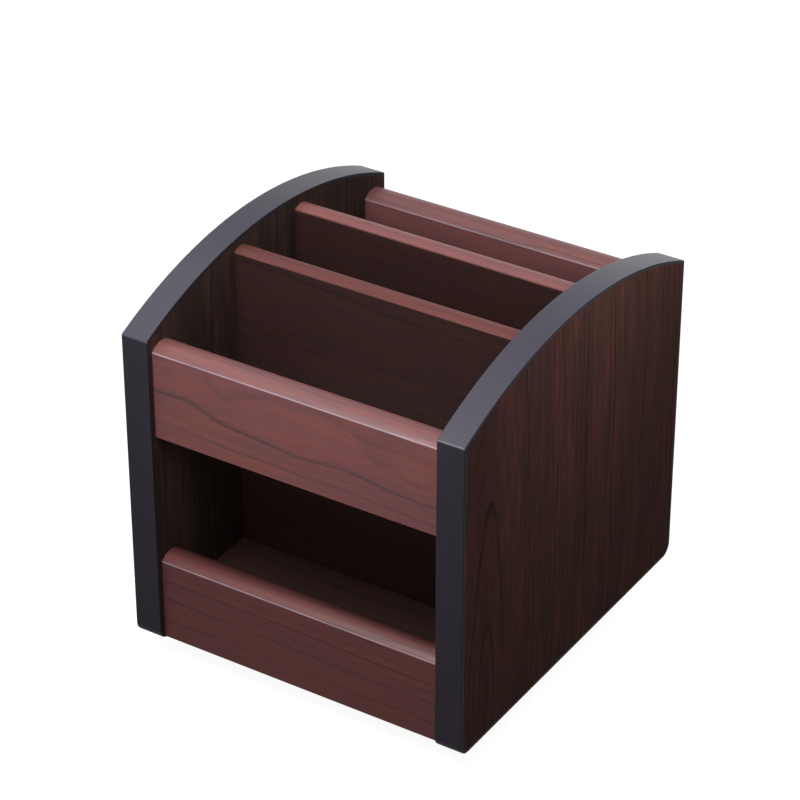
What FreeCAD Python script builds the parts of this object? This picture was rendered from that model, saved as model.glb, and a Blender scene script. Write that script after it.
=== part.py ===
"""Rotating desk organizer: a three-pocket wooden box that turns on a ball-bearing base.

Millimetres. +Z is up, X runs across the two side panels and -Y is the front. The origin is on the
desk, under the middle of the organizer. The box is the same seen from the front and from the back.
"""
import FreeCAD
import Part
import math
import os

Vector = FreeCAD.Vector

# ---- overall box -------------------------------------------------------------------------------
WIDTH = 115.0               # over the outer faces of the two side panels
DEPTH = 125.0               # over the front and rear edges of a side panel
SIDE_HEIGHT = 118.5         # height of a side panel at the top of its arch
ARCH_RISE = 14.0            # from a side panel's front and rear corners to the top of its arch

# ---- boards ------------------------------------------------------------------------------------
SIDE_BOARD = 9.0
SIDE_FOOT_RADIUS = 4.0      # rounding of the two bottom corners of a side panel
EDGING = 1.0                # thickness of the strip round the edge of a side panel
EDGING_ROUND = 0.3          # rounding of that strip's long corners
RAIL_BOARD = 9.0
RAIL_SETBACK = 2.3          # rails lie this far behind the side panels' edges
RAIL_CROWN = 2.0            # rise of a rail's rounded top edge
UPPER_RAIL_DROP = 2.5       # from a side panel's front corner down to the top of the upper rail
UPPER_RAIL_HEIGHT = 30.5
LOWER_RAIL_RISE = 0.8       # from the bottom of the side panels up to the lower rail
LOWER_RAIL_HEIGHT = 29.2
DIVIDER_BOARD = 6.0
DIVIDER_CROWN = 1.0
DIVIDER_DROP = 4.0          # from the top of the side panels' arch down to the top of a divider
POCKET_DEPTH = 32.4         # clear depth between a rail and the divider behind it
FLOOR_BOARD = 6.0
FLOOR_RISE = 13.0           # top of the floor above the bottom of the side panels

# ---- dowels that join the boards to the side panels --------------------------------------------
RAIL_DOWEL_RADIUS = 2.5
RAIL_DOWEL_MARGIN = 8.0     # from a rail's bottom and top edges to its dowels
THIN_DOWEL_RADIUS = 1.5
DIVIDER_DOWEL_MARGIN = 16.0
FLOOR_DOWEL_OFFSET = 34.0   # either side of the middle of the floor
DOWEL_IN_SIDE = 6.0
DOWEL_IN_BOARD = 12.0
DOWEL_CLEARANCE = 0.05      # on the radius
DOWEL_END_GAP = 0.3

# ---- turntable ---------------------------------------------------------------------------------
BEARING_HEIGHT = 7.2        # from the base board up to the floor board
BEARING_SQUARE = 60.0       # side of the square plates
BEARING_CORNER = 4.0
SHEET = 1.0                 # thickness of the pressed plates
BALL_RADIUS = 2.0
BALL_COUNT = 16
RACE_RADIUS = 19.0          # circle of the ball centres
RACE_CLEARANCE = 0.05
GROOVE_HALF = 1.6           # half the width of the pressed groove
LIP = 1.2                   # flat lip outside the groove
LIP_SLOPE = 1.4             # run of the slope from the lip down to the plate's flat
CAGE_HALF = 3.2             # half the width of the cage ring
CAGE_THICKNESS = 1.2
CAGE_CLEARANCE = 0.15
RIVET_RADIUS = 5.0
RIVET_WALL = 1.0
RIVET_FLANGE = 2.0          # how far the rolled ends reach beyond the barrel
RIVET_FLANGE_THICKNESS = 0.8
RIVET_CLEARANCE = 0.05
RIVET_END_PLAY = 0.1
PLATE_SCREW_MARGIN = 5.0    # from the plates' straight edges in to their corner screws
SCREW_RADIUS = 1.4
SCREW_HOLE_CLEARANCE = 0.1
SCREW_LENGTH = 5.0          # below the head
SCREW_HEAD_RADIUS = 2.7
SCREW_HEAD_HEIGHT = 1.2
SCREW_TIP_GAP = 0.3

# ---- base --------------------------------------------------------------------------------------
BASE_MARGIN = 4.2           # from the corners of the lower plate out to the rim of the base board
BASE_BOARD = 6.0
BASE_ROUND = 1.5
ACCESS_HOLE_RADIUS = 4.0    # lets a screwdriver reach the upper plate's screws from below
FOOT_RADIUS = 6.0
FOOT_THICKNESS = 1.8
FOOT_INSET = 9.0            # from the rim of the base board in to the middle of a foot
FOOT_COUNT = 4

# ---- levels and faces worked out from the sizes above --------------------------------------------
def arc_radius(half_chord, rise):
    return (half_chord ** 2 + rise ** 2) / (2 * rise)


base_bottom = FOOT_THICKNESS
plate_bottom = base_bottom + BASE_BOARD
floor_bottom = plate_bottom + BEARING_HEIGHT
floor_top = floor_bottom + FLOOR_BOARD
box_bottom = floor_top - FLOOR_RISE
inner_x = WIDTH / 2 - SIDE_BOARD
rail_front = DEPTH / 2 - RAIL_SETBACK
rail_back = rail_front - RAIL_BOARD
divider_outer = rail_back - POCKET_DEPTH
divider_inner = divider_outer - DIVIDER_BOARD
arch_radius = arc_radius(DEPTH / 2, ARCH_RISE)
side_top = box_bottom + SIDE_HEIGHT
plate_corner_reach = (BEARING_SQUARE / 2 - BEARING_CORNER) * math.sqrt(2) + BEARING_CORNER
plate_screw_offset = BEARING_SQUARE / 2 - PLATE_SCREW_MARGIN
base_radius = plate_corner_reach + BASE_MARGIN
race_level = BEARING_HEIGHT / 2
groove_radius = BALL_RADIUS + RACE_CLEARANCE
lip_level = race_level - math.sqrt(groove_radius ** 2 - GROOVE_HALF ** 2)


def save(name, *shapes):
    """Writes one sub-part; several shapes become one group of separate solids."""
    shape = shapes[0] if len(shapes) == 1 else Part.makeCompound(list(shapes))
    shape.exportStep("parts/" + name + ".step")


def line(start, end):
    return Part.LineSegment(start, end).toShape()


def arc(start, middle, end):
    return Part.Arc(start, middle, end).toShape()


def crown(at, middle, half, top, radius):
    """Two arcs over a board, meeting at its crest, from the +Y shoulder to the -Y shoulder."""
    steps = (half, half / 2, 0, -half / 2, -half)
    points = [at(middle + y, top - radius + math.sqrt(radius ** 2 - y ** 2)) for y in steps]
    return [arc(*points[:3]), arc(*points[2:])]


def cylinder(radius, height, x, y, z):
    return Part.makeCylinder(radius, height, Vector(x, y, z))


def cylinder_along_x(radius, x_from, x_to, y, z):
    return Part.makeCylinder(radius, x_to - x_from, Vector(x_from, y, z), Vector(1, 0, 0))


def mirror_x(shape):
    return shape.mirror(Vector(0, 0, 0), Vector(1, 0, 0))


def mirror_y(shape):
    return shape.mirror(Vector(0, 0, 0), Vector(0, 1, 0))


# ---- side panels ---------------------------------------------------------------------------------
def side_prism(inset):
    """The side panel's outline, moved inwards by inset, through the board's thickness on +X."""
    half = DEPTH / 2 - inset
    bottom = box_bottom + inset
    top = side_top - inset
    radius = arch_radius - inset
    corner = top - radius + math.sqrt(radius ** 2 - half ** 2)
    foot = SIDE_FOOT_RADIUS - inset
    bend = foot * (1 - math.sqrt(0.5))

    def at(y, z):
        return Vector(inner_x, y, z)

    edges = [
        line(at(-half + foot, bottom), at(half - foot, bottom)),
        arc(at(half - foot, bottom), at(half - bend, bottom + bend), at(half, bottom + foot)),
        line(at(half, bottom + foot), at(half, corner)),
        *crown(at, 0, half, top, radius),
        line(at(-half, corner), at(-half, bottom + foot)),
        arc(at(-half, bottom + foot), at(-half + bend, bottom + bend), at(-half + foot, bottom)),
    ]
    return Part.Face(Part.Wire(edges)).extrude(Vector(SIDE_BOARD, 0, 0))


def side_edging():
    """The strip round a side panel, with its long corners rounded."""
    whole = side_prism(0)
    rims = [edge for edge in whole.Edges if edge.BoundBox.XLength < SIDE_BOARD / 2]
    return whole.makeFillet(EDGING_ROUND, rims).cut(side_prism(EDGING))


# ---- rails, dividers and floor -------------------------------------------------------------------
def crowned_board(outer, thickness, bottom, top, rise):
    """A board between the side panels on +Y, with its top edge rounded from face to face."""
    inner = outer - thickness
    half = thickness / 2
    shoulder = top - rise

    def at(y, z):
        return Vector(-inner_x, y, z)

    edges = [
        line(at(inner, shoulder), at(inner, bottom)),
        line(at(inner, bottom), at(outer, bottom)),
        line(at(outer, bottom), at(outer, shoulder)),
        *crown(at, inner + half, half, top, arc_radius(half, rise)),
    ]
    return Part.Face(Part.Wire(edges)).extrude(Vector(2 * inner_x, 0, 0))


def dowel_ends(radius, in_board, in_side, seats):
    """Cylinders across the joint between a board and each side panel, at the (y, z) seats."""
    right = [cylinder_along_x(radius, inner_x - in_board, inner_x + in_side, y, z) for y, z in seats]
    return right + [mirror_x(shape) for shape in right]


def dowels(radius, seats):
    return dowel_ends(radius, DOWEL_IN_BOARD, DOWEL_IN_SIDE, seats)


def dowel_holes(radius, seats):
    gap = DOWEL_END_GAP
    return dowel_ends(radius + DOWEL_CLEARANCE, DOWEL_IN_BOARD + gap, DOWEL_IN_SIDE + gap, seats)


def board_seats(outer, thickness, bottom, top, margin):
    """The (y, z) places of the dowels in an upright board: two at each end."""
    y = outer - thickness / 2
    return [(y, bottom + margin), (y, top - margin)]


def both(seats):
    """The same seats in the front half of the box as in the rear half."""
    return seats + [(-y, z) for y, z in seats]


upper_rail_top = side_top - ARCH_RISE - UPPER_RAIL_DROP
upper_rail = (rail_front, RAIL_BOARD, upper_rail_top - UPPER_RAIL_HEIGHT, upper_rail_top)
lower_rail_bottom = box_bottom + LOWER_RAIL_RISE
lower_rail = (rail_front, RAIL_BOARD, lower_rail_bottom, lower_rail_bottom + LOWER_RAIL_HEIGHT)
divider = (divider_outer, DIVIDER_BOARD, floor_top, side_top - DIVIDER_DROP)
rail_seats = both(board_seats(*upper_rail, RAIL_DOWEL_MARGIN) + board_seats(*lower_rail, RAIL_DOWEL_MARGIN))
divider_seats = both(board_seats(*divider, DIVIDER_DOWEL_MARGIN))
floor_seats = both([(FLOOR_DOWEL_OFFSET, floor_bottom + FLOOR_BOARD / 2)])
rail_holes = dowel_holes(RAIL_DOWEL_RADIUS, rail_seats)
thin_holes = dowel_holes(THIN_DOWEL_RADIUS, divider_seats + floor_seats)


# ---- turntable -----------------------------------------------------------------------------------
def corner_places():
    offset = plate_screw_offset
    return [(x, y) for x in (-offset, offset) for y in (-offset, offset)]


def bearing_plate(hole_radius):
    """The lower plate: a square flange, a slope up to a ring with the ball groove, and the middle."""
    groove_in = RACE_RADIUS - GROOVE_HALF
    groove_out = RACE_RADIUS + GROOVE_HALF
    lip_out = groove_out + LIP
    slope_out = lip_out + LIP_SLOPE

    def at(radius, z):
        return Vector(radius, 0, z)

    top = [
        line(at(hole_radius, lip_level), at(groove_in, lip_level)),
        arc(at(groove_in, lip_level), at(RACE_RADIUS, race_level - groove_radius), at(groove_out, lip_level)),
        line(at(groove_out, lip_level), at(lip_out, lip_level)),
        line(at(lip_out, lip_level), at(slope_out, SHEET)),
    ]
    below = [edge.translated(Vector(0, 0, -SHEET)) for edge in top]
    inner_end = line(at(hole_radius, lip_level - SHEET), at(hole_radius, lip_level))
    outer_end = line(at(slope_out, SHEET), at(slope_out, 0))
    section = Part.Wire(top + [outer_end] + below[::-1] + [inner_end])
    pressed = Part.Face(section).revolve(Vector(0, 0, 0), Vector(0, 0, 1), 360)
    half = BEARING_SQUARE / 2
    flange = Part.makeBox(BEARING_SQUARE, BEARING_SQUARE, SHEET, Vector(-half, -half, 0))
    uprights = [e for e in flange.Edges if e.BoundBox.ZLength > SHEET / 2]
    flange = flange.makeFillet(BEARING_CORNER, uprights).cut(cylinder(slope_out, SHEET, 0, 0, 0))
    screw_hole = SCREW_RADIUS + SCREW_HOLE_CLEARANCE
    holes = [cylinder(screw_hole, SHEET, x, y, 0) for x, y in corner_places()]
    return flange.fuse(pressed).removeSplitter().cut(holes)


def ring_places(count, radius, start=0.0):
    """Points evenly spaced round a circle, starting at an angle in degrees."""
    angles = [math.radians(start + 360.0 * i / count) for i in range(count)]
    return [(radius * math.cos(a), radius * math.sin(a)) for a in angles]


def ball(x, y):
    return Part.makeSphere(BALL_RADIUS, Vector(x, y, race_level))


def ball_cage(places):
    z = race_level - CAGE_THICKNESS / 2
    outer = cylinder(RACE_RADIUS + CAGE_HALF, CAGE_THICKNESS, 0, 0, z)
    inner = cylinder(RACE_RADIUS - CAGE_HALF, CAGE_THICKNESS, 0, 0, z)
    pockets = [cylinder(BALL_RADIUS + CAGE_CLEARANCE, CAGE_THICKNESS, x, y, z) for x, y in places]
    return outer.cut([inner] + pockets)


def centre_rivet():
    """A hollow rivet: its barrel holds the lower plate and the upper plate turns round it."""
    flange_radius = RIVET_RADIUS + RIVET_FLANGE
    under_disc = lip_level - SHEET
    over_disc = BEARING_HEIGHT - under_disc + RIVET_END_PLAY
    bottom = under_disc - RIVET_FLANGE_THICKNESS
    height = over_disc + RIVET_FLANGE_THICKNESS - bottom
    lower_flange = cylinder(flange_radius, RIVET_FLANGE_THICKNESS, 0, 0, bottom)
    upper_flange = cylinder(flange_radius, RIVET_FLANGE_THICKNESS, 0, 0, over_disc)
    barrel = cylinder(RIVET_RADIUS, height, 0, 0, bottom)
    bore = cylinder(RIVET_RADIUS - RIVET_WALL, height, 0, 0, bottom)
    return barrel.fuse([lower_flange, upper_flange]).removeSplitter().cut(bore)


def plate_screw(x, y):
    """A screw of the lower plate, its head on the flange and its shank down into the base board."""
    head = cylinder(SCREW_HEAD_RADIUS, SCREW_HEAD_HEIGHT, x, y, SHEET)
    shank = cylinder(SCREW_RADIUS, SCREW_LENGTH, x, y, SHEET - SCREW_LENGTH)
    return head.fuse(shank).removeSplitter()


def pilot_hole(x, y):
    """The hole that a lower plate's screw has in the base board."""
    depth = SCREW_LENGTH - SHEET + SCREW_TIP_GAP
    return cylinder(SCREW_RADIUS + SCREW_HOLE_CLEARANCE, depth, x, y, -depth)


def in_place(shape):
    """Lifts a shape drawn from the lower plate's underside to its level on the base board."""
    return shape.translated(Vector(0, 0, plate_bottom))


def turned_over(shape):
    """The upper plate's copy of a shape drawn for the lower plate."""
    return shape.mirror(Vector(0, 0, race_level), Vector(0, 0, 1))


# ---- base ----------------------------------------------------------------------------------------
def base_disc():
    disc = cylinder(base_radius, BASE_BOARD, 0, 0, base_bottom)
    rims = [e for e in disc.Edges if e.BoundBox.ZLength < BASE_BOARD / 2]
    access_x = plate_screw_offset * math.sqrt(2)
    access = cylinder(ACCESS_HOLE_RADIUS, BASE_BOARD, access_x, 0, base_bottom)
    pilots = [in_place(pilot_hole(x, y)) for x, y in corner_places()]
    return disc.makeFillet(BASE_ROUND, rims).cut([access] + pilots)


def floor_board():
    board = Part.makeBox(2 * inner_x, 2 * rail_back, FLOOR_BOARD, Vector(-inner_x, -rail_back, floor_bottom))
    pilots = [in_place(turned_over(pilot_hole(x, y))) for x, y in corner_places()]
    return board.cut(pilots + thin_holes)


os.makedirs("parts", exist_ok=True)

side_board = side_prism(EDGING).cut(rail_holes + thin_holes)
save("right_side_panel", side_board)
save("left_side_panel", mirror_x(side_board))
edging = side_edging()
save("right_edging", edging)
save("left_edging", mirror_x(edging))

rear_upper = crowned_board(*upper_rail, RAIL_CROWN).cut(rail_holes)
save("rear_upper_rail", rear_upper)
save("front_upper_rail", mirror_y(rear_upper))
rear_lower = crowned_board(*lower_rail, RAIL_CROWN).cut(rail_holes)
save("rear_lower_rail", rear_lower)
save("front_lower_rail", mirror_y(rear_lower))
rear_divider = crowned_board(*divider, DIVIDER_CROWN).cut(thin_holes)
save("rear_divider", rear_divider)
save("front_divider", mirror_y(rear_divider))
save("floor_board", floor_board())

save("rail_dowels", *dowels(RAIL_DOWEL_RADIUS, rail_seats))
save("divider_dowels", *dowels(THIN_DOWEL_RADIUS, divider_seats))
save("floor_dowels", *dowels(THIN_DOWEL_RADIUS, floor_seats))

ball_places = ring_places(BALL_COUNT, RACE_RADIUS)
rivet_hole = RIVET_RADIUS + RIVET_CLEARANCE
save("lower_bearing_plate", in_place(bearing_plate(rivet_hole)))
save("upper_bearing_plate", in_place(turned_over(bearing_plate(rivet_hole))))
save("ball_cage", in_place(ball_cage(ball_places)))
save("bearing_balls", *[in_place(ball(x, y)) for x, y in ball_places])
save("centre_rivet", in_place(centre_rivet()))
save("lower_plate_screws", *[in_place(plate_screw(x, y)) for x, y in corner_places()])
save("upper_plate_screws", *[in_place(turned_over(plate_screw(x, y))) for x, y in corner_places()])

save("base_disc", base_disc())
foot_places = ring_places(FOOT_COUNT, base_radius - FOOT_INSET, 180.0 / FOOT_COUNT)
save("rubber_feet", *[cylinder(FOOT_RADIUS, FOOT_THICKNESS, x, y, 0) for x, y in foot_places])
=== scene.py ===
"""Wood, edging and studio for a small desk organizer that turns on a ball-bearing base."""
import math
from typing import NamedTuple

import bmesh
import bpy
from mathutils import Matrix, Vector


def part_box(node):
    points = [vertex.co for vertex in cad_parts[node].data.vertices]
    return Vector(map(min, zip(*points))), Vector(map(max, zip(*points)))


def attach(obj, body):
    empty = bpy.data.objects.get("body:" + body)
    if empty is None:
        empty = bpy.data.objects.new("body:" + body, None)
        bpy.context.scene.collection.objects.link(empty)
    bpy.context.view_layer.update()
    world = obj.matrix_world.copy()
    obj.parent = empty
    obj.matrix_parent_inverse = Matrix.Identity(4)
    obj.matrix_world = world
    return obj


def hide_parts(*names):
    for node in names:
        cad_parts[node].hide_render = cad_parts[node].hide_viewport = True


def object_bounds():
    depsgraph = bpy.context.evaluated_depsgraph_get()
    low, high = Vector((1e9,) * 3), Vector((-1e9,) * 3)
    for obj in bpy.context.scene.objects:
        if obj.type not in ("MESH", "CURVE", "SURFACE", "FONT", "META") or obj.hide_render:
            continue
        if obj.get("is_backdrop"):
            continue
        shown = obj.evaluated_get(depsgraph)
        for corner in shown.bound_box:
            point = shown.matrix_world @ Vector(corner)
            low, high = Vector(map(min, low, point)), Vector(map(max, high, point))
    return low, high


bl_info = {
    "name": "Rotating Desk Organizer",
    "version": (1, 0, 0),
    "blender": (4, 5, 0),
    "location": "View3D > Sidebar > Organizer",
    "description": "Dresses a rotating desk organizer in wood, edging and steel and sets up "
                   "its studio",
    "category": "Object",
}

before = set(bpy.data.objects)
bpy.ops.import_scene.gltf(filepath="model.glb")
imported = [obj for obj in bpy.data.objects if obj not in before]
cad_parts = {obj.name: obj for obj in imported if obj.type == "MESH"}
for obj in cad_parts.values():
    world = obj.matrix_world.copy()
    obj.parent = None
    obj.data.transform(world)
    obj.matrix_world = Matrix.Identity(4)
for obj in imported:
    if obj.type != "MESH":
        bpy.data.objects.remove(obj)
CAD_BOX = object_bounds()
MM = 0.001
WHITE = (1.0, 1.0, 1.0, 1.0)

# Places in the list of materials of a rail, divider or strip, and of a side panel's board.
FACES, ARRIS, TOP = 0, 1, 2
OUTER, INNER = 0, 1

# Steps of the arcs, segments of the rounded edges, and the angles that make an edge.
ARCH_STEPS = 96
CROWN_STEPS = 16
FOOT_STEPS = 12
EASED_SEGMENTS = 3
RIDGE_SEGMENTS = 4
CORNER_ANGLE = math.radians(30.0)
SHARP_ANGLE = math.radians(40.0)

# Least part of a face's normal that points along an axis, for the face to look that way.
FACING = 0.5
ARCH_FACING = 0.7


# ---- sizes and colours a user would change --------------------------------------------------
def length(name, description, default):
    return bpy.props.FloatProperty(name=name, description=description, default=default,
                                   unit="LENGTH")


def colour(name, description, default):
    return bpy.props.FloatVectorProperty(name=name, description=description, default=default,
                                         subtype="COLOR", size=3, min=0.0, max=1.0)


def factor(name, description, default):
    return bpy.props.FloatProperty(name=name, description=description, default=default,
                                   subtype="FACTOR", min=0.0, max=1.0)


def angle(name, description, degrees):
    return bpy.props.FloatProperty(name=name, description=description,
                                   default=math.radians(degrees), subtype="ANGLE")


class WoodSettings(bpy.types.PropertyGroup):
    rail_body: colour("Rail body", "Main tone of the rails and dividers",
                      (0.148, 0.0545, 0.0565))
    rail_flush: colour("Rail flush", "Redder streaks of the rails and dividers",
                       (0.172, 0.057, 0.050))
    rail_fibre: colour("Rail fibre", "Fine dark fibres of the rails and dividers",
                       (0.092, 0.046, 0.047))
    rail_line: colour("Rail line", "Growth lines of the rails and dividers",
                      (0.048, 0.034, 0.034))
    # Pale tone that paints a highlight along the rails' upper arrises.
    rail_arris_highlight: colour("Rail arris", "Painted highlight on the arrises of the rails", (0.200, 0.140, 0.162))
    divider_arris: colour("Divider arris", "Arrises of the dividers", (0.090, 0.036, 0.033))
    # The side tones are darker than the rails': partly the panels' own wood, partly painted shade.
    side_body: colour("Side body", "Main tone of the side panels", (0.072, 0.0345, 0.0290))
    side_flush: colour("Side flush", "Redder streaks of the side panels",
                       (0.124, 0.0415, 0.0325))
    side_fibre: colour("Side fibre", "Fine dark fibres of the side panels",
                       (0.046, 0.024, 0.020))
    side_line: colour("Side line", "Growth lines of the side panels", (0.014, 0.008, 0.008))
    roughness: factor("Roughness", "Roughness of the satin lacquer", 0.46)


class ShapeSettings(bpy.types.PropertyGroup):
    arch_rise: length("Arch rise", "From a side panel's front corner up to the top of its arch",
                      0.014)
    foot_radius: length("Foot radius", "Rounding of a side panel's two bottom corners", 0.004)
    strip: length("Strip", "Thickness of the strip round a side panel", 0.001)
    strip_ease: length("Strip ease", "Rounding of the strip's long edges", 0.0003)
    ridge_ease: length("Ridge ease",
                       "Rounding of the strip where the arch meets the upright edges", 0.00035)
    rail_crown: length("Rail crown", "Rise of a rail's rounded top", 0.002)
    divider_crown: length("Divider crown", "Rise of a divider's rounded top", 0.001)
    eased_edge: length("Eased edge", "Rounding of the rails' and dividers' long edges", 0.00024)


class EdgingSettings(bpy.types.PropertyGroup):
    tone: colour("Tone", "Colour of the upright and bottom strips", (0.0200, 0.0178, 0.0236))
    # A bluer copy of the strip colour for the arch tops: painted light.
    arch: colour("Arch", "Colour of the strips over the arches", (0.0205, 0.0180, 0.0300))
    # A lighter tone that paints a highlight along the strips' ridges.
    ridge: colour("Ridge", "Painted highlight on the ridges of the strips", (0.032, 0.031, 0.038))
    roughness: factor("Roughness", "Roughness of the strips", 0.42)


class StudioSettings(bpy.types.PropertyGroup):
    azimuth: angle("Azimuth", "How far the camera stands round to the right of the front", 32.53)
    elevation: angle("Elevation", "How far the camera looks down", 31.38)
    distance: length("Distance", "From the camera to the point it looks at", 0.9267)
    lens: bpy.props.FloatProperty(name="Lens", description="Focal length of the camera",
                                  default=140.1, unit="CAMERA")
    target: bpy.props.FloatVectorProperty(name="Target",
                                          description="The point the camera looks at",
                                          default=(-0.0030, 0.0, 0.0762),
                                          subtype="TRANSLATION", size=3)


# ---- shader building ------------------------------------------------------------------------
class Sheet:
    """Adds nodes to a node tree and joins them."""

    # The colour sockets of a Mix node, which share their names with its other kinds of socket.
    FIRST_COLOUR, SECOND_COLOUR, MIXED_COLOUR = 6, 7, 2

    def __init__(self, tree):
        self.tree = tree

    def node(self, kind, **settings):
        made = self.tree.nodes.new(kind)
        for key, value in settings.items():
            setattr(made, key, value)
        return made

    def plug(self, value, socket):
        """Links a socket to a socket, or gives it a plain value."""
        if isinstance(value, bpy.types.NodeSocket):
            self.tree.links.new(value, socket)
        else:
            socket.default_value = value

    def maths(self, operation, *values):
        made = self.node("ShaderNodeMath", operation=operation)
        for value, socket in zip(values, made.inputs):
            self.plug(value, socket)
        return made.outputs[0]

    def ramp(self, value, low, high):
        """0 below low, 1 above high, smooth between."""
        made = self.node("ShaderNodeMapRange", interpolation_type="SMOOTHSTEP")
        for key, setting in (("Value", value), ("From Min", low), ("From Max", high)):
            self.plug(setting, made.inputs[key])
        return made.outputs["Result"]

    def blend(self, amount, first, second, mode="MIX"):
        made = self.node("ShaderNodeMix", data_type="RGBA", blend_type=mode)
        self.plug(amount, made.inputs["Factor"])
        self.plug(first, made.inputs[self.FIRST_COLOUR])
        self.plug(second, made.inputs[self.SECOND_COLOUR])
        return made.outputs[self.MIXED_COLOUR]

    def separated(self, vector):
        made = self.node("ShaderNodeSeparateXYZ")
        self.plug(vector, made.inputs[0])
        return made.outputs

    def stretched(self, vector, scale):
        made = self.node("ShaderNodeVectorMath", operation="MULTIPLY")
        self.plug(vector, made.inputs[0])
        made.inputs[1].default_value = scale
        return made.outputs[0]

    def noise(self, vector, scale, detail, roughness=0.5):
        made = self.node("ShaderNodeTexNoise")
        self.plug(vector, made.inputs["Vector"])
        self.plug(scale, made.inputs["Scale"])
        made.inputs["Detail"].default_value = detail
        made.inputs["Roughness"].default_value = roughness
        return made.outputs["Fac"]

    def bump(self, height, strength, distance):
        made = self.node("ShaderNodeBump")
        made.inputs["Strength"].default_value = strength
        made.inputs["Distance"].default_value = distance
        self.plug(height, made.inputs["Height"])
        return made.outputs["Normal"]


def new_group(name, inputs, outputs):
    """A node group with the sockets named; returns its sheet and its two ends.

    inputs are (kind, name, default or None), and outputs are the names of floats.
    """
    group = bpy.data.node_groups.new(name, "ShaderNodeTree")
    for kind, label, default in inputs:
        socket = group.interface.new_socket(label, in_out="INPUT",
                                            socket_type="NodeSocket" + kind)
        if default is not None:
            socket.default_value = default
    for label in outputs:
        group.interface.new_socket(label, in_out="OUTPUT", socket_type="NodeSocketFloat")
    sheet = Sheet(group)
    return sheet, sheet.node("NodeGroupInput").outputs, sheet.node("NodeGroupOutput").inputs


class Log(NamedTuple):
    """How a board lies in its log, and the log's growth rings.

    turn (degrees) and shift (metres) bring the board's own space to the log's, where X runs along
    the heart. spacing is a ring's thickness in millimetres, lean the slope of the rings along the
    grain, waviness how far they stray, width the share of a ring that its dark line takes, seed
    picks which rings are strong, and the higher sparseness is, the fewer of them are.
    """

    turn: tuple
    shift: tuple
    spacing: float
    lean: float
    waviness: float
    width: float
    seed: float
    sparseness: float = 2.2


LEVEL = (0.0, 0.0, 0.0)
UPRIGHT = (0.0, 90.0, 0.0)
ABOUT_FACE = (0.0, 0.0, 180.0)


class Pattern(NamedTuple):
    """A noise in the timber: repeats per millimetre along, across and into the log, and detail."""

    run: tuple
    detail: float
    roughness: float = 0.5


BEND = Pattern((0.026, 0.035, 0.035), 1.0)
RIPPLE = Pattern((0.075, 0.12, 0.12), 1.0)
CROWDING = Pattern((0.003, 0.07, 0.07), 1.0)
FADING = Pattern((0.024, 0.3, 0.3), 1.0)
COARSE_FIBRE = Pattern((0.11, 2.4, 2.4), 3.0, 0.65)
FINE_FIBRE = Pattern((0.55, 5.5, 5.5), 2.0, 0.6)
FLUSH = Pattern((0.045, 0.42, 0.42), 3.0)
CLOUD = Pattern((0.012, 0.10, 0.10), 2.0)

TO_MILLIMETRES = (1000.0, 1000.0, 1000.0)
BEND_HEIGHT = 16.0            # millimetres, from the lowest to the highest
RIPPLE_HEIGHT = 2.5           # the same
CROWDING_SHIFT = 2.4          # rings
LINE_START = 0.95             # place in a ring, from 0 to 1, before the line's width is taken off
LINE_DARKEST = (0.93, 0.94)   # places in a ring
FAINTEST_RING = 0.15          # share of the strongest
FADED_LINE = 0.35             # share of a line that is left where it fades
FADING_RANGE = (0.28, 0.60)
FINE_SHARE = 0.45             # of the fibre


def timber_group():
    """Sawn timber. Vector is in metres with X along the grain and the log's heart along X.

    Lines are the growth rings of a leaning, wavering log, Fibre the fine streaking along the grain,
    Flush the longer streaks of redder wood and Cloud the slow drift of tone.
    """
    inputs = [("Vector", "Vector", None), ("Float", "Spacing", 3.0), ("Float", "Lean", 0.05),
              ("Float", "Waviness", 1.0), ("Float", "Width", 0.3), ("Float", "Seed", 0.0),
              ("Float", "Sparseness", 2.2)]
    sheet, given, result = new_group("Timber", inputs, ("Lines", "Fibre", "Flush", "Cloud"))
    maths = sheet.maths
    place = sheet.stretched(given["Vector"], TO_MILLIMETRES)
    along, across, deep = sheet.separated(place)

    def pattern(kind):
        return sheet.noise(sheet.stretched(place, kind.run), 1.0, kind.detail, kind.roughness)

    def swell(kind, height):
        return maths("MULTIPLY", maths("SUBTRACT", pattern(kind), 0.5), height)

    waver = maths("ADD", swell(BEND, BEND_HEIGHT), swell(RIPPLE, RIPPLE_HEIGHT))
    waver = maths("MULTIPLY", waver, given["Waviness"])
    lift = maths("MULTIPLY_ADD", along, given["Lean"], deep)
    radius = maths("SQRT", maths("ADD", maths("POWER", across, 2.0), maths("POWER", lift, 2.0)))
    ring = maths("DIVIDE", maths("ADD", radius, waver), given["Spacing"])
    ring = maths("MULTIPLY_ADD", pattern(CROWDING), CROWDING_SHIFT, ring)
    part = maths("FRACT", ring)

    odds = sheet.node("ShaderNodeTexWhiteNoise", noise_dimensions="1D")
    sheet.plug(maths("ADD", maths("FLOOR", ring), given["Seed"]), odds.inputs["W"])
    strength = maths("POWER", odds.outputs["Value"], given["Sparseness"])
    strength = maths("MULTIPLY_ADD", strength, 1.0 - FAINTEST_RING, FAINTEST_RING)
    rise = sheet.ramp(part, maths("SUBTRACT", LINE_START, given["Width"]), LINE_DARKEST[0])
    fall = maths("SUBTRACT", 1.0, sheet.ramp(part, LINE_DARKEST[1], 1.0))
    lines = maths("MULTIPLY", maths("MULTIPLY", rise, fall), strength)
    kept = maths("MULTIPLY_ADD", sheet.ramp(pattern(FADING), *FADING_RANGE), 1.0 - FADED_LINE,
                 FADED_LINE)
    sheet.plug(maths("MULTIPLY", lines, kept), result["Lines"])

    coarse = maths("MULTIPLY", pattern(COARSE_FIBRE), 1.0 - FINE_SHARE)
    sheet.plug(maths("MULTIPLY_ADD", pattern(FINE_FIBRE), FINE_SHARE, coarse), result["Fibre"])
    sheet.plug(pattern(FLUSH), result["Flush"])
    sheet.plug(pattern(CLOUD), result["Cloud"])


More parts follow.
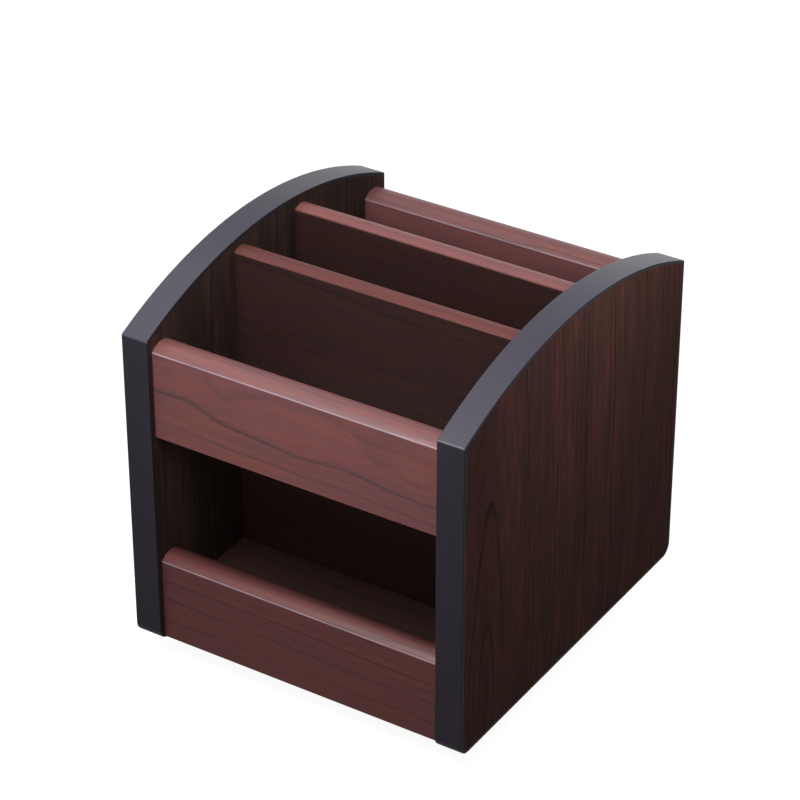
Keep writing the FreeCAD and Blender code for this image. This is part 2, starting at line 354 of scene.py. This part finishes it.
def mottle_group():
    """Slight unevenness of a moulded, painted or metal finish, and its fine pebbled surface."""
    inputs = [("Vector", "Vector", None), ("Float", "Patches", 40.0), ("Float", "Pebbles", 2600.0)]
    sheet, given, result = new_group("Mottle", inputs, ("Patch", "Pebble"))
    sheet.plug(sheet.noise(given["Vector"], given["Patches"], 3.0), result["Patch"])
    sheet.plug(sheet.noise(given["Vector"], given["Pebbles"], 2.0), result["Pebble"])


def new_material(name):
    """A material with a Principled BSDF; returns the material, its sheet and its shader."""
    material = bpy.data.materials.new(name)
    material.use_nodes = True
    tree = material.node_tree
    return material, Sheet(tree), tree.nodes["Principled BSDF"]


def object_place(sheet, turn=LEVEL, shift=(0.0, 0.0, 0.0)):
    """Object coordinates, turned and then moved by shift."""
    coords = sheet.node("ShaderNodeTexCoord")
    mapping = sheet.node("ShaderNodeMapping", vector_type="POINT")
    mapping.inputs["Location"].default_value = shift
    mapping.inputs["Rotation"].default_value = [math.radians(a) for a in turn]
    sheet.plug(coords.outputs["Object"], mapping.inputs["Vector"])
    return mapping.outputs["Vector"]


# Where the timber's masks begin and are full, how much the fibres show, how far the roughness
# varies, and the strength and height of the relief.
FLUSH_RANGE = (0.40, 0.70)
THREAD_RANGE = (0.34, 0.54)
DRIFT_RANGE = (0.30, 0.70)
THREAD_DEPTH = 0.75
WOOD_ROUGHNESS_SPREAD = 0.08
WOOD_RELIEF = (0.12, 0.02 * MM)
LACQUER_SPECULAR = 0.05


def wood_material(name, tones, log, line_depth=0.85, drift_depth=0.30,
                  specular=LACQUER_SPECULAR, fade=None):
    """Satin-lacquered timber; tones are (body, flush, fibre, line).

    fade is (from, to, share), a painted shadow: between those two Y the tone falls to that share of
    itself.
    """
    material, sheet, shader = new_material(name)
    grain = sheet.node("ShaderNodeGroup", node_tree=bpy.data.node_groups["Timber"])
    sheet.plug(object_place(sheet, log.turn, log.shift), grain.inputs["Vector"])
    for key in ("Spacing", "Lean", "Waviness", "Width", "Seed", "Sparseness"):
        grain.inputs[key].default_value = getattr(log, key.lower())
    body, flush, fibre, line = ((*tone, 1.0) for tone in tones)
    tone = sheet.blend(sheet.ramp(grain.outputs["Flush"], *FLUSH_RANGE), body, flush)
    threads = sheet.maths("SUBTRACT", 1.0, sheet.ramp(grain.outputs["Fibre"], *THREAD_RANGE))
    tone = sheet.blend(sheet.maths("MULTIPLY", threads, THREAD_DEPTH), tone, fibre)
    drift = sheet.ramp(grain.outputs["Cloud"], *DRIFT_RANGE)
    tone = sheet.blend(sheet.maths("MULTIPLY", drift, drift_depth), tone, fibre)
    lines = grain.outputs["Lines"]
    tone = sheet.blend(sheet.maths("MULTIPLY", lines, line_depth), tone, line)
    # Painted shadow: the tone darkens between two depths.
    if fade:
        start, end, left = fade
        depth = sheet.separated(object_place(sheet))["Y"]
        tone = sheet.blend(sheet.ramp(depth, start, end), tone, (left, left, left, 1.0),
                           "MULTIPLY")
    sheet.plug(tone, shader.inputs["Base Color"])
    smoothest = bpy.context.scene.organizer_wood.roughness - WOOD_ROUGHNESS_SPREAD / 2
    rough = sheet.maths("MULTIPLY_ADD", threads, WOOD_ROUGHNESS_SPREAD, smoothest)
    rough = sheet.maths("MULTIPLY_ADD", lines, WOOD_ROUGHNESS_SPREAD, rough)
    sheet.plug(rough, shader.inputs["Roughness"])
    shader.inputs["Specular IOR Level"].default_value = specular
    relief = sheet.maths("SUBTRACT", grain.outputs["Fibre"], lines)
    sheet.plug(sheet.bump(relief, *WOOD_RELIEF), shader.inputs["Normal"])
    return material


FINISH_ROUGHNESS_SPREAD = 0.12
FINISH_BUMP = 0.15


def plain_material(name, tone, roughness, metallic=0.0, specular=0.5, patches=40.0, amount=0.10,
                   relief=0.01 * MM):
    """A moulded, painted or metal finish with slight mottling and a fine surface texture."""
    material, sheet, shader = new_material(name)
    mottle = sheet.node("ShaderNodeGroup", node_tree=bpy.data.node_groups["Mottle"])
    sheet.plug(object_place(sheet), mottle.inputs["Vector"])
    mottle.inputs["Patches"].default_value = patches
    patch = mottle.outputs["Patch"]
    darker = [c * (1.0 - amount) for c in tone] + [1.0]
    lighter = [c * (1.0 + amount) for c in tone] + [1.0]
    sheet.plug(sheet.blend(patch, darker, lighter), shader.inputs["Base Color"])
    smoothest = roughness - FINISH_ROUGHNESS_SPREAD / 2
    sheet.plug(sheet.maths("MULTIPLY_ADD", patch, FINISH_ROUGHNESS_SPREAD, smoothest),
               shader.inputs["Roughness"])
    shader.inputs["Metallic"].default_value = metallic
    shader.inputs["Specular IOR Level"].default_value = specular
    sheet.plug(sheet.bump(mottle.outputs["Pebble"], FINISH_BUMP, relief),
               shader.inputs["Normal"])
    return material


def dress(material, *nodes):
    """Gives CAD nodes' own objects a material."""
    for node in nodes:
        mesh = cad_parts[node].data
        mesh.materials.clear()
        mesh.materials.append(material)


def add_object(name, data):
    made = bpy.data.objects.new(name, data)
    bpy.context.scene.collection.objects.link(made)
    return made


def finish_piece(bm, name, node, materials):
    """Turns a bmesh into a smooth-shaded piece that stands for a CAD node of the turning box."""
    bmesh.ops.recalc_face_normals(bm, faces=bm.faces)
    mesh = bpy.data.meshes.new(name)
    bm.to_mesh(mesh)
    bm.free()
    mesh.polygons.foreach_set("use_smooth", [True] * len(mesh.polygons))
    mesh.set_sharp_from_angle(angle=SHARP_ANGLE)
    piece = add_object(name, mesh)
    even = piece.modifiers.new("Even shading", "WEIGHTED_NORMAL")
    even.keep_sharp = True
    for material in materials:
        mesh.materials.append(material)
    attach(piece, "organizer")
    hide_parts(node)


# ---- shapes ---------------------------------------------------------------------------------
def only_verts(geometry):
    return [v for v in geometry if isinstance(v, bmesh.types.BMVert)]


def swing(bm, start, centre, degrees, steps):
    """Swings a vertex round centre, in the upright plane along Y; returns its arc's far end."""
    swung = bmesh.ops.spin(bm, geom=[start], cent=centre, axis=(1, 0, 0),
                           angle=math.radians(degrees), steps=steps)
    return only_verts(swung["geom_last"])[0]


def arc_radius(half, rise):
    """The radius of an arc that is twice half wide and rises by rise."""
    return (half ** 2 + rise ** 2) / (2 * rise)


def arc_degrees(half, radius):
    """The turn from an arc's front end to its rear end, over the top."""
    return -2 * math.degrees(math.asin(half / radius))


def round_edges(bm, edges, offset, segments):
    """Rounds edges and returns the faces that this makes."""
    return bmesh.ops.bevel(bm, geom=edges, offset=offset, offset_type="OFFSET", affect="EDGES",
                           segments=segments, profile=0.5, material=-1)["faces"]


def thicken(bm, node):
    """Pulls the flat faces of a bmesh through the thickness of a CAD node's box along X."""
    low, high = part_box(node)
    pulled = bmesh.ops.extrude_face_region(bm, geom=bm.faces[:])
    bmesh.ops.translate(bm, verts=only_verts(pulled["geom"]), vec=(high.x - low.x, 0, 0))
    bmesh.ops.recalc_face_normals(bm, faces=bm.faces)


def add_side_outline(bm, x, inset):
    """Adds a side panel's arched outline, moved inwards by inset, as a closed loop of edges."""
    shape = bpy.context.scene.organizer_shape
    low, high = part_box("right_edging")
    full = (high.y - low.y) / 2
    full_radius = arc_radius(full, shape.arch_rise)
    half, radius, foot = full - inset, full_radius - inset, shape.foot_radius - inset
    peak = high.z - full_radius
    front = bm.verts.new((x, -half, peak + math.sqrt(radius ** 2 - half ** 2)))
    rear = swing(bm, front, (x, 0.0, peak), arc_degrees(half, radius), ARCH_STEPS)
    heels = bmesh.ops.extrude_vert_indiv(bm, verts=[front, rear])["verts"]
    toes = []
    for heel in heels:
        heel.co.z = low.z + shape.foot_radius
        turn = 1 if heel.co.y < 0 else -1
        centre = (x, heel.co.y + turn * foot, heel.co.z)
        toes.append(swing(bm, heel, centre, turn * 90.0, FOOT_STEPS))
    bm.edges.new(toes)


def side_slab(node):
    """The veneered board inside a side panel's strip."""
    bm = bmesh.new()
    add_side_outline(bm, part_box(node)[0].x, bpy.context.scene.organizer_shape.strip)
    bmesh.ops.contextual_create(bm, geom=bm.edges[:])
    thicken(bm, node)
    inwards = -1 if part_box(node)[0].x > 0 else 1
    for face in bm.faces:
        # Inner faces take the shaded copy of the timber.
        face.material_index = INNER if face.normal.x * inwards > FACING else OUTER
    return bm


def outward_faces(bm, middle):
    """The faces round the rim of a strip that look away from its middle."""
    return {f for f in bm.faces if abs(f.normal.x) < FACING
            and f.normal.dot(f.calc_center_median() - middle) > 0.0}


def edging_strip(node):
    """The strip round a side panel, its long edges eased and its two top ridges rounded."""
    shape = bpy.context.scene.organizer_shape
    bm = bmesh.new()
    add_side_outline(bm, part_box(node)[0].x, 0.0)
    add_side_outline(bm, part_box(node)[0].x, shape.strip)
    bmesh.ops.bridge_loops(bm, edges=bm.edges[:])
    thicken(bm, node)
    middle = sum(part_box(node), Vector()) / 2
    outer = outward_faces(bm, middle)
    ridges = [e for e in bm.edges if outer.issuperset(e.link_faces)
              and e.calc_face_angle(0.0) > CORNER_ANGLE]
    rounded = round_edges(bm, ridges, shape.ridge_ease, RIDGE_SEGMENTS)
    # The arch tops take their own lit copy of the strip colour: painted light.
    for face in bm.faces:
        if face.normal.z > ARCH_FACING:
            face.material_index = TOP
    # The rounded ridges take the painted highlight.
    for face in rounded:
        face.material_index = ARRIS
    outer = outward_faces(bm, middle)
    rims = [e for e in bm.edges if len(outer.intersection(e.link_faces)) == 1]
    round_edges(bm, rims, shape.strip_ease, EASED_SEGMENTS)
    return bm


def crowned_board(node, rise, ease):
    """A board along X whose top is arched from face to face, with eased long edges."""
    low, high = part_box(node)
    middle = (high + low) / 2
    half = (high.y - low.y) / 2
    radius = arc_radius(half, rise)
    bm = bmesh.new()
    start = bm.verts.new((low.x, low.y, high.z - rise))
    end = swing(bm, start, (low.x, middle.y, high.z - radius), arc_degrees(half, radius),
                CROWN_STEPS)
    feet = bmesh.ops.extrude_vert_indiv(bm, verts=[start, end])["verts"]
    bmesh.ops.translate(bm, verts=feet, vec=(0, 0, low.z - start.co.z))
    bm.edges.new(feet)
    bmesh.ops.contextual_create(bm, geom=bm.edges[:])
    thicken(bm, node)
    corners = [e for e in bm.edges if abs(e.verts[0].co.x - e.verts[1].co.x) > MM
               and e.calc_face_angle(0.0) > CORNER_ANGLE]
    eased = round_edges(bm, corners, ease, EASED_SEGMENTS)
    # The top and the upper arrises take their own materials, which carry painted light and a
    # painted highlight.
    for face in bm.faces:
        if face.normal.z > FACING:
            face.material_index = TOP
    for face in eased:
        face.material_index = ARRIS if face.calc_center_median().z > middle.z else FACES
    return bm


# ---- boards ---------------------------------------------------------------------------------
def deepened(tones, depth):
    """Tones multiplied by depth: one number, or one each for red, green and blue."""
    depths = depth if isinstance(depth, tuple) else (depth, depth, depth)
    return [[c * d for c, d in zip(tone, depths)] for tone in tones]


def rail_tones(depth):
    settings = bpy.context.scene.organizer_wood
    return deepened((settings.rail_body, settings.rail_flush, settings.rail_fibre,
                     settings.rail_line), depth)


def side_tones(depth):
    settings = bpy.context.scene.organizer_wood
    return deepened((settings.side_body, settings.side_flush, settings.side_fibre,
                     settings.side_line), depth)


class Board(NamedTuple):
    """A rail's or divider's log, the depths of tone of its faces and top, which paint light and
    shade, and the top's finish.
    """

    log: Log
    faces: object
    top: object
    top_specular: float
    top_painted_shadow: tuple = None


# On the rails the mottling makes the painted highlight on the arrises uneven.
ARRIS_FINISH = {"roughness": 0.32, "patches": 90.0, "amount": 0.45}
# Gloss of the rails' arrises, under their painted highlight.
RAIL_ARRIS_SPECULAR = 0.35


def add_boards(boards, crown, arris, arris_specular):
    """Makes crowned boards, each with timber for its faces, a second copy of it toned for its top,
    and one tone for its arrises; the tones paint light and shade, and on the rails the arris tone
    is a painted highlight.
    """
    ease = bpy.context.scene.organizer_shape.eased_edge
    for node, board in boards.items():
        bm = crowned_board(node, crown, ease)
        faces = wood_material(node + "_timber", rail_tones(board.faces), board.log)
        edge = plain_material(node + "_arris", arris, specular=arris_specular, **ARRIS_FINISH)
        top = wood_material(node + "_top", rail_tones(board.top), board.log,
                            specular=board.top_specular, fade=board.top_painted_shadow)
        finish_piece(bm, node + "_board", node, (faces, edge, top))


# ---- operators ------------------------------------------------------------------------------
class ORGANIZER_OT_rails(bpy.types.Operator):
    """Makes the four rails, with crowned tops and eased edges whose upper arrises carry a painted
    highlight
    """

    bl_idname = "organizer.rails"
    bl_label = "Rails"

    # The lower rails are toned darker, painted shade for the light that falls off downwards, and
    # their tops darken towards the inside, a painted shadow of the upper rails.
    LOWER_IN_SHADE = {"faces": (0.575, 0.51, 0.48), "top": (0.64, 0.49, 0.45), "top_specular": 0.30}
    BOARDS = {
        "front_upper_rail": Board(
            Log(LEVEL, (0.010, 0.0872, -0.108), 2.6, 0.03, 0.30, 0.28, 3.0, 2.0),
            faces=0.87, top=0.84, top_specular=0.22),
        "front_lower_rail": Board(
            Log(LEVEL, (0.300, 0.0740, -0.060), 3.0, 0.02, 0.14, 0.24, 5.0, 0.8),
            **LOWER_IN_SHADE, top_painted_shadow=(-0.0585, -0.0515, 0.25)),
        # The rear upper rail's top is toned lighter than the front's: painted light.
        "rear_upper_rail": Board(
            Log(ABOUT_FACE, (0.040, 0.0850, -0.112), 2.8, 0.03, 0.30, 0.28, 7.0, 2.0),
            faces=0.87, top=1.12, top_specular=0.22),
        "rear_lower_rail": Board(
            Log(ABOUT_FACE, (0.500, 0.0740, -0.058), 3.0, 0.02, 0.14, 0.24, 9.0, 0.8),
            **LOWER_IN_SHADE, top_painted_shadow=(0.0585, 0.0515, 0.25)),
    }

    def execute(self, context):
        crown = context.scene.organizer_shape.rail_crown
        arris = context.scene.organizer_wood.rail_arris_highlight
        add_boards(self.BOARDS, crown, arris, RAIL_ARRIS_SPECULAR)
        return {"FINISHED"}


class ORGANIZER_OT_dividers(bpy.types.Operator):
    """Makes the two dividers, with slightly crowned tops and eased edges"""

    bl_idname = "organizer.dividers"
    bl_label = "Dividers"

    # The dividers' faces are toned near black and grey, painted shade of the pockets, and their
    # tops far lighter, painted light, the rear top more than the front.
    BOARDS = {
        "front_divider": Board(
            Log(LEVEL, (0.120, 0.0500, -0.150), 3.0, 0.05, 0.25, 0.30, 11.0),
            faces=(0.17, 0.205, 0.19), top=(0.72, 0.60, 0.56), top_specular=0.08),
        "rear_divider": Board(
            Log(LEVEL, (0.260, 0.0200, -0.155), 3.2, 0.05, 0.25, 0.30, 13.0),
            faces=(0.17, 0.205, 0.19), top=1.16, top_specular=0.14),
    }

    def execute(self, context):
        crown = context.scene.organizer_shape.divider_crown
        arris = context.scene.organizer_wood.divider_arris
        add_boards(self.BOARDS, crown, arris, LACQUER_SPECULAR)
        return {"FINISHED"}


class ORGANIZER_OT_side_panels(bpy.types.Operator):
    """Makes the boards of the arched side panels, with upright grain and darker, greyer inner
    faces, which are painted shade
    """

    bl_idname = "organizer.side_panels"
    bl_label = "Side Panels"

    LOGS = {
        "right_side_panel": Log(UPRIGHT, (0.0, 0.050, 0.0545), 2.6, 0.15, 0.24, 0.40, 15.0, 1.5),
        "left_side_panel": Log(UPRIGHT, (0.4, 0.110, -0.1145), 2.4, 0.02, 0.24, 0.40, 17.0, 1.5),
    }
    OUTER_DEPTH, OUTER_LINES = 0.87, 0.84
    # The inner faces get a darker, greyer copy of the timber with fainter lines: painted shade.
    INNER_DEPTH, INNER_LINES = (0.56, 0.77, 0.77), 0.60
    DRIFT = 0.68
    SPECULAR = 0.002

    def execute(self, context):
        for node, log in self.LOGS.items():
            outer = wood_material(node + "_timber", side_tones(self.OUTER_DEPTH), log,
                                  self.OUTER_LINES, self.DRIFT, self.SPECULAR)
            inner = wood_material(node + "_inner", side_tones(self.INNER_DEPTH), log,
                                  self.INNER_LINES, self.DRIFT, self.SPECULAR)
            finish_piece(side_slab(node), node + "_board", node, (outer, inner))
        return {"FINISHED"}


class ORGANIZER_OT_edging(bpy.types.Operator):
    """Makes the satin charcoal strips round the side panels"""

    bl_idname = "organizer.edging"
    bl_label = "Edging"

    STRIP_SPECULAR = 0.026
    ARCH_SPECULAR = 0.33
    RIDGE_SPECULAR = 0.30
    RIDGE_ROUGHNESS = 0.36

    def execute(self, context):
        settings = context.scene.organizer_edging
        charcoal = plain_material("Edging charcoal", settings.tone, settings.roughness,
                                  specular=self.STRIP_SPECULAR)
        # The arch tops' bluer copy of the strip colour is painted light.
        arch = plain_material("Edging arch", settings.arch, settings.roughness,
                              specular=self.ARCH_SPECULAR)
        # The ridges' lighter tone is a painted highlight.
        glint = plain_material("Edging ridge", settings.ridge, self.RIDGE_ROUGHNESS,
                               specular=self.RIDGE_SPECULAR)
        for node in ("left_edging", "right_edging"):
            finish_piece(edging_strip(node), node + "_strip", node, (charcoal, glint, arch))
        return {"FINISHED"}


class ORGANIZER_OT_floor_board(bpy.types.Operator):
    """Gives the floor board its grain, toned dark as painted shade, and the dowels their bare beech
    """

    bl_idname = "organizer.floor_board"
    bl_label = "Floor Board and Dowels"

    FLOOR_LOG = Log(LEVEL, (0.08, 0.12, -0.08), 3.6, 0.05, 0.30, 0.45, 19.0)
    # The floor board's timber is toned dark and grey: painted shade of the pockets.
    FLOOR_SHADE_DEPTH = (0.22, 0.29, 0.26)
    BEECH_LOG = Log(LEVEL, (0.0, 0.02, 0.01), 1.6, 0.02, 0.1, 0.5, 21.0)
    BEECH = (0.58, 0.44, 0.30), (0.60, 0.42, 0.28), (0.50, 0.36, 0.23), (0.42, 0.29, 0.18)

    def execute(self, context):
        timber = wood_material("floor_board_timber", rail_tones(self.FLOOR_SHADE_DEPTH),
                               self.FLOOR_LOG)
        dress(timber, "floor_board")
        beech = wood_material("Dowel beech", self.BEECH, self.BEECH_LOG)
        dress(beech, "rail_dowels", "divider_dowels", "floor_dowels")
        return {"FINISHED"}


class ORGANIZER_OT_turntable(bpy.types.Operator):
    """Gives the ball-bearing turntable its zinc plate, steel balls and nylon cage"""

    bl_idname = "organizer.turntable"
    bl_label = "Turntable"

    def execute(self, context):
        zinc = plain_material("Zinc plate", (0.62, 0.62, 0.60), 0.34, metallic=1.0,
                              patches=90.0, amount=0.12)
        fixing = plain_material("Bright zinc", (0.66, 0.66, 0.64), 0.28, metallic=1.0,
                                patches=300.0)
        ball = plain_material("Ball steel", (0.75, 0.75, 0.76), 0.12, metallic=1.0,
                              patches=300.0, amount=0.04)
        nylon = plain_material("Natural nylon", (0.70, 0.68, 0.60), 0.5, patches=120.0,
                               amount=0.05)
        dress(zinc, "lower_bearing_plate", "upper_bearing_plate")
        dress(fixing, "lower_plate_screws", "upper_plate_screws", "centre_rivet")
        dress(ball, "bearing_balls")
        dress(nylon, "ball_cage")
        return {"FINISHED"}


class ORGANIZER_OT_base(bpy.types.Operator):
    """Gives the base board its dark lacquer and the feet their rubber"""

    bl_idname = "organizer.base"
    bl_label = "Base"

    LOG = Log(LEVEL, (0.05, 0.03, 0.03), 3.2, 0.04, 0.2, 0.5, 23.0)
    LACQUER = ((0.032, 0.025, 0.025), (0.036, 0.025, 0.024), (0.022, 0.018, 0.018),
               (0.012, 0.010, 0.010))

    def execute(self, context):
        dress(wood_material("Base lacquer", self.LACQUER, self.LOG), "base_disc")
        rubber = plain_material("Rubber", (0.022, 0.022, 0.022), 0.75, patches=500.0,
                                amount=0.15, relief=0.04 * MM)
        dress(rubber, "rubber_feet")
        return {"FINISHED"}


# ---- studio ---------------------------------------------------------------------------------
def direction(turn, lift):
    """Points turn round from the front towards +X, and lift above the level."""
    return Vector((math.sin(turn) * math.cos(lift), -math.cos(turn) * math.cos(lift),
                   math.sin(lift)))


def aim(item, location, target):
    item.location = location
    item.rotation_euler = (Vector(target) - Vector(location)).to_track_quat("-Z", "Y").to_euler()


def direct_rays(sheet):
    """1 for what the camera, a gloss or a glass sees, and 0 for light that falls on things."""
    paths = sheet.node("ShaderNodeLightPath")
    seen = sheet.maths("MAXIMUM", paths.outputs["Is Camera Ray"], paths.outputs["Is Glossy Ray"])
    return sheet.maths("MAXIMUM", seen, paths.outputs["Is Transmission Ray"])


class ORGANIZER_OT_stage(bpy.types.Operator):
    """Sets up the pale floor, the soft lamps, the bright surroundings and the camera"""

    bl_idname = "organizer.stage"
    bl_label = "Stage"

    MIDDLE = (0.0, 0.0, 0.07)
    FRONT_RAIL = (0.004, -0.06, 0.098)
    REAR_CORNER = (0.0575, 0.03, 0.125)
    # Name, degrees round from the front, degrees up, distance and width in metres, watts, target.
    LAMPS = (
        ("Key box", -10.0, 57.0, 0.21, 0.12, 0.90, FRONT_RAIL),
        ("Front fill", 5.0, 10.0, 0.90, 0.40, 1.30, MIDDLE),
        ("Overhead box", -100.0, 57.0, 0.75, 0.50, 1.40, MIDDLE),
        ("Right box", 70.0, 37.0, 0.08, 0.10, 0.080, REAR_CORNER),
        ("Rear box", 120.0, 35.0, 0.08, 0.10, 0.025, REAR_CORNER),
        ("Back box", -150.0, 12.0, 0.90, 0.50, 0.20, MIDDLE),
        ("Rear fill", 172.0, 18.0, 0.70, 0.35, 1.2, MIDDLE),
    )

    FLOOR_SIZE = 3.0
    FLOOR_GAP = 0.0002
    FLOOR_TONE = (0.28, 0.28, 0.28, 1.0)
    FLOOR_ROUGHNESS = 0.9
    FLOOR_SPECULAR = 0.1
    FLOOR_LIFT = 0.93           # brings the floor to white where it is seen
    LIGHT_FROM_AROUND = 0.08    # what falls on things
    SEEN_AROUND = 0.92          # added to that where the surroundings are seen

    def execute(self, context):
        self.floor()
        self.surroundings()
        for lamp in self.LAMPS:
            self.soft_box(*lamp)
        self.camera(context.scene.organizer_studio)
        return {"FINISHED"}

    def floor(self):
        bm = bmesh.new()
        bmesh.ops.create_grid(bm, x_segments=1, y_segments=1, size=self.FLOOR_SIZE)
        bmesh.ops.translate(bm, verts=bm.verts, vec=(0, 0, CAD_BOX[0][2] - self.FLOOR_GAP))
        mesh = bpy.data.meshes.new("Floor")
        bm.to_mesh(mesh)
        bm.free()
        floor = add_object("Floor", mesh)
        material, sheet, shader = new_material("Pale floor")
        shader.inputs["Base Color"].default_value = self.FLOOR_TONE
        shader.inputs["Roughness"].default_value = self.FLOOR_ROUGHNESS
        shader.inputs["Specular IOR Level"].default_value = self.FLOOR_SPECULAR
        glow = sheet.node("ShaderNodeEmission")
        glow.inputs["Color"].default_value = WHITE
        sheet.plug(sheet.maths("MULTIPLY", direct_rays(sheet), self.FLOOR_LIFT),
                   glow.inputs["Strength"])
        both = sheet.node("ShaderNodeAddShader")
        sheet.plug(shader.outputs[0], both.inputs[0])
        sheet.plug(glow.outputs[0], both.inputs[1])
        sheet.plug(both.outputs[0], material.node_tree.nodes["Material Output"].inputs["Surface"])
        mesh.materials.append(material)
        floor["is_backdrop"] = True

    def surroundings(self):
        world = bpy.data.worlds.new("Studio")
        bpy.context.scene.world = world
        world.use_nodes = True
        sheet = Sheet(world.node_tree)
        shade = world.node_tree.nodes["Background"]
        shade.inputs["Color"].default_value = WHITE
        sheet.plug(sheet.maths("MULTIPLY_ADD", direct_rays(sheet), self.SEEN_AROUND,
                               self.LIGHT_FROM_AROUND), shade.inputs["Strength"])

    def soft_box(self, name, bearing, height, distance, size, watts, target):
        """A square lamp that looks at target from bearing and height."""
        data = bpy.data.lights.new(name, "AREA")
        data.shape = "SQUARE"
        data.size = size
        data.energy = watts
        away = direction(math.radians(bearing), math.radians(height))
        aim(add_object(name, data), Vector(target) + away * distance, target)

    def camera(self, settings):
        data = bpy.data.cameras.new("Camera")
        data.sensor_width = 36.0
        data.lens = settings.lens
        camera = add_object("Camera", data)
        target = Vector(settings.target)
        away = direction(settings.azimuth, settings.elevation)
        aim(camera, target + away * settings.distance, target)
        bpy.context.scene.camera = camera
        bpy.context.scene.view_settings.view_transform = "Standard"


class ORGANIZER_PT_panel(bpy.types.Panel):
    """The organizer's pieces and stage"""

    bl_idname = "ORGANIZER_PT_panel"
    bl_label = "Rotating Desk Organizer"
    bl_space_type = "VIEW_3D"
    bl_region_type = "UI"
    bl_category = "Organizer"

    def draw(self, context):
        for step in STEPS:
            self.layout.operator(step.bl_idname)
        for name, group in GROUPS.items():
            box = self.layout.box()
            for setting in group.__annotations__:
                box.prop(getattr(context.scene, name), setting)


STEPS = (ORGANIZER_OT_side_panels, ORGANIZER_OT_edging, ORGANIZER_OT_rails,
         ORGANIZER_OT_dividers, ORGANIZER_OT_floor_board, ORGANIZER_OT_turntable,
         ORGANIZER_OT_base, ORGANIZER_OT_stage)
GROUPS = {"organizer_wood": WoodSettings, "organizer_shape": ShapeSettings,
          "organizer_edging": EdgingSettings, "organizer_studio": StudioSettings}
CLASSES = (*GROUPS.values(), *STEPS, ORGANIZER_PT_panel)


def register():
    for item in CLASSES:
        bpy.utils.register_class(item)
    for name, group in GROUPS.items():
        setattr(bpy.types.Scene, name, bpy.props.PointerProperty(type=group))


def unregister():
    for name in GROUPS:
        delattr(bpy.types.Scene, name)
    for item in reversed(CLASSES):
        bpy.utils.unregister_class(item)


def corners(box):
    return [[float(value) for value in corner] for corner in box]


def main():
    register()
    timber_group()
    mottle_group()
    for step in STEPS:
        section, name = step.bl_idname.split(".")
        getattr(getattr(bpy.ops, section), name)()
    {"cad": corners(CAD_BOX), "visual": corners(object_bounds())}


if __name__ == "__main__":
    main()
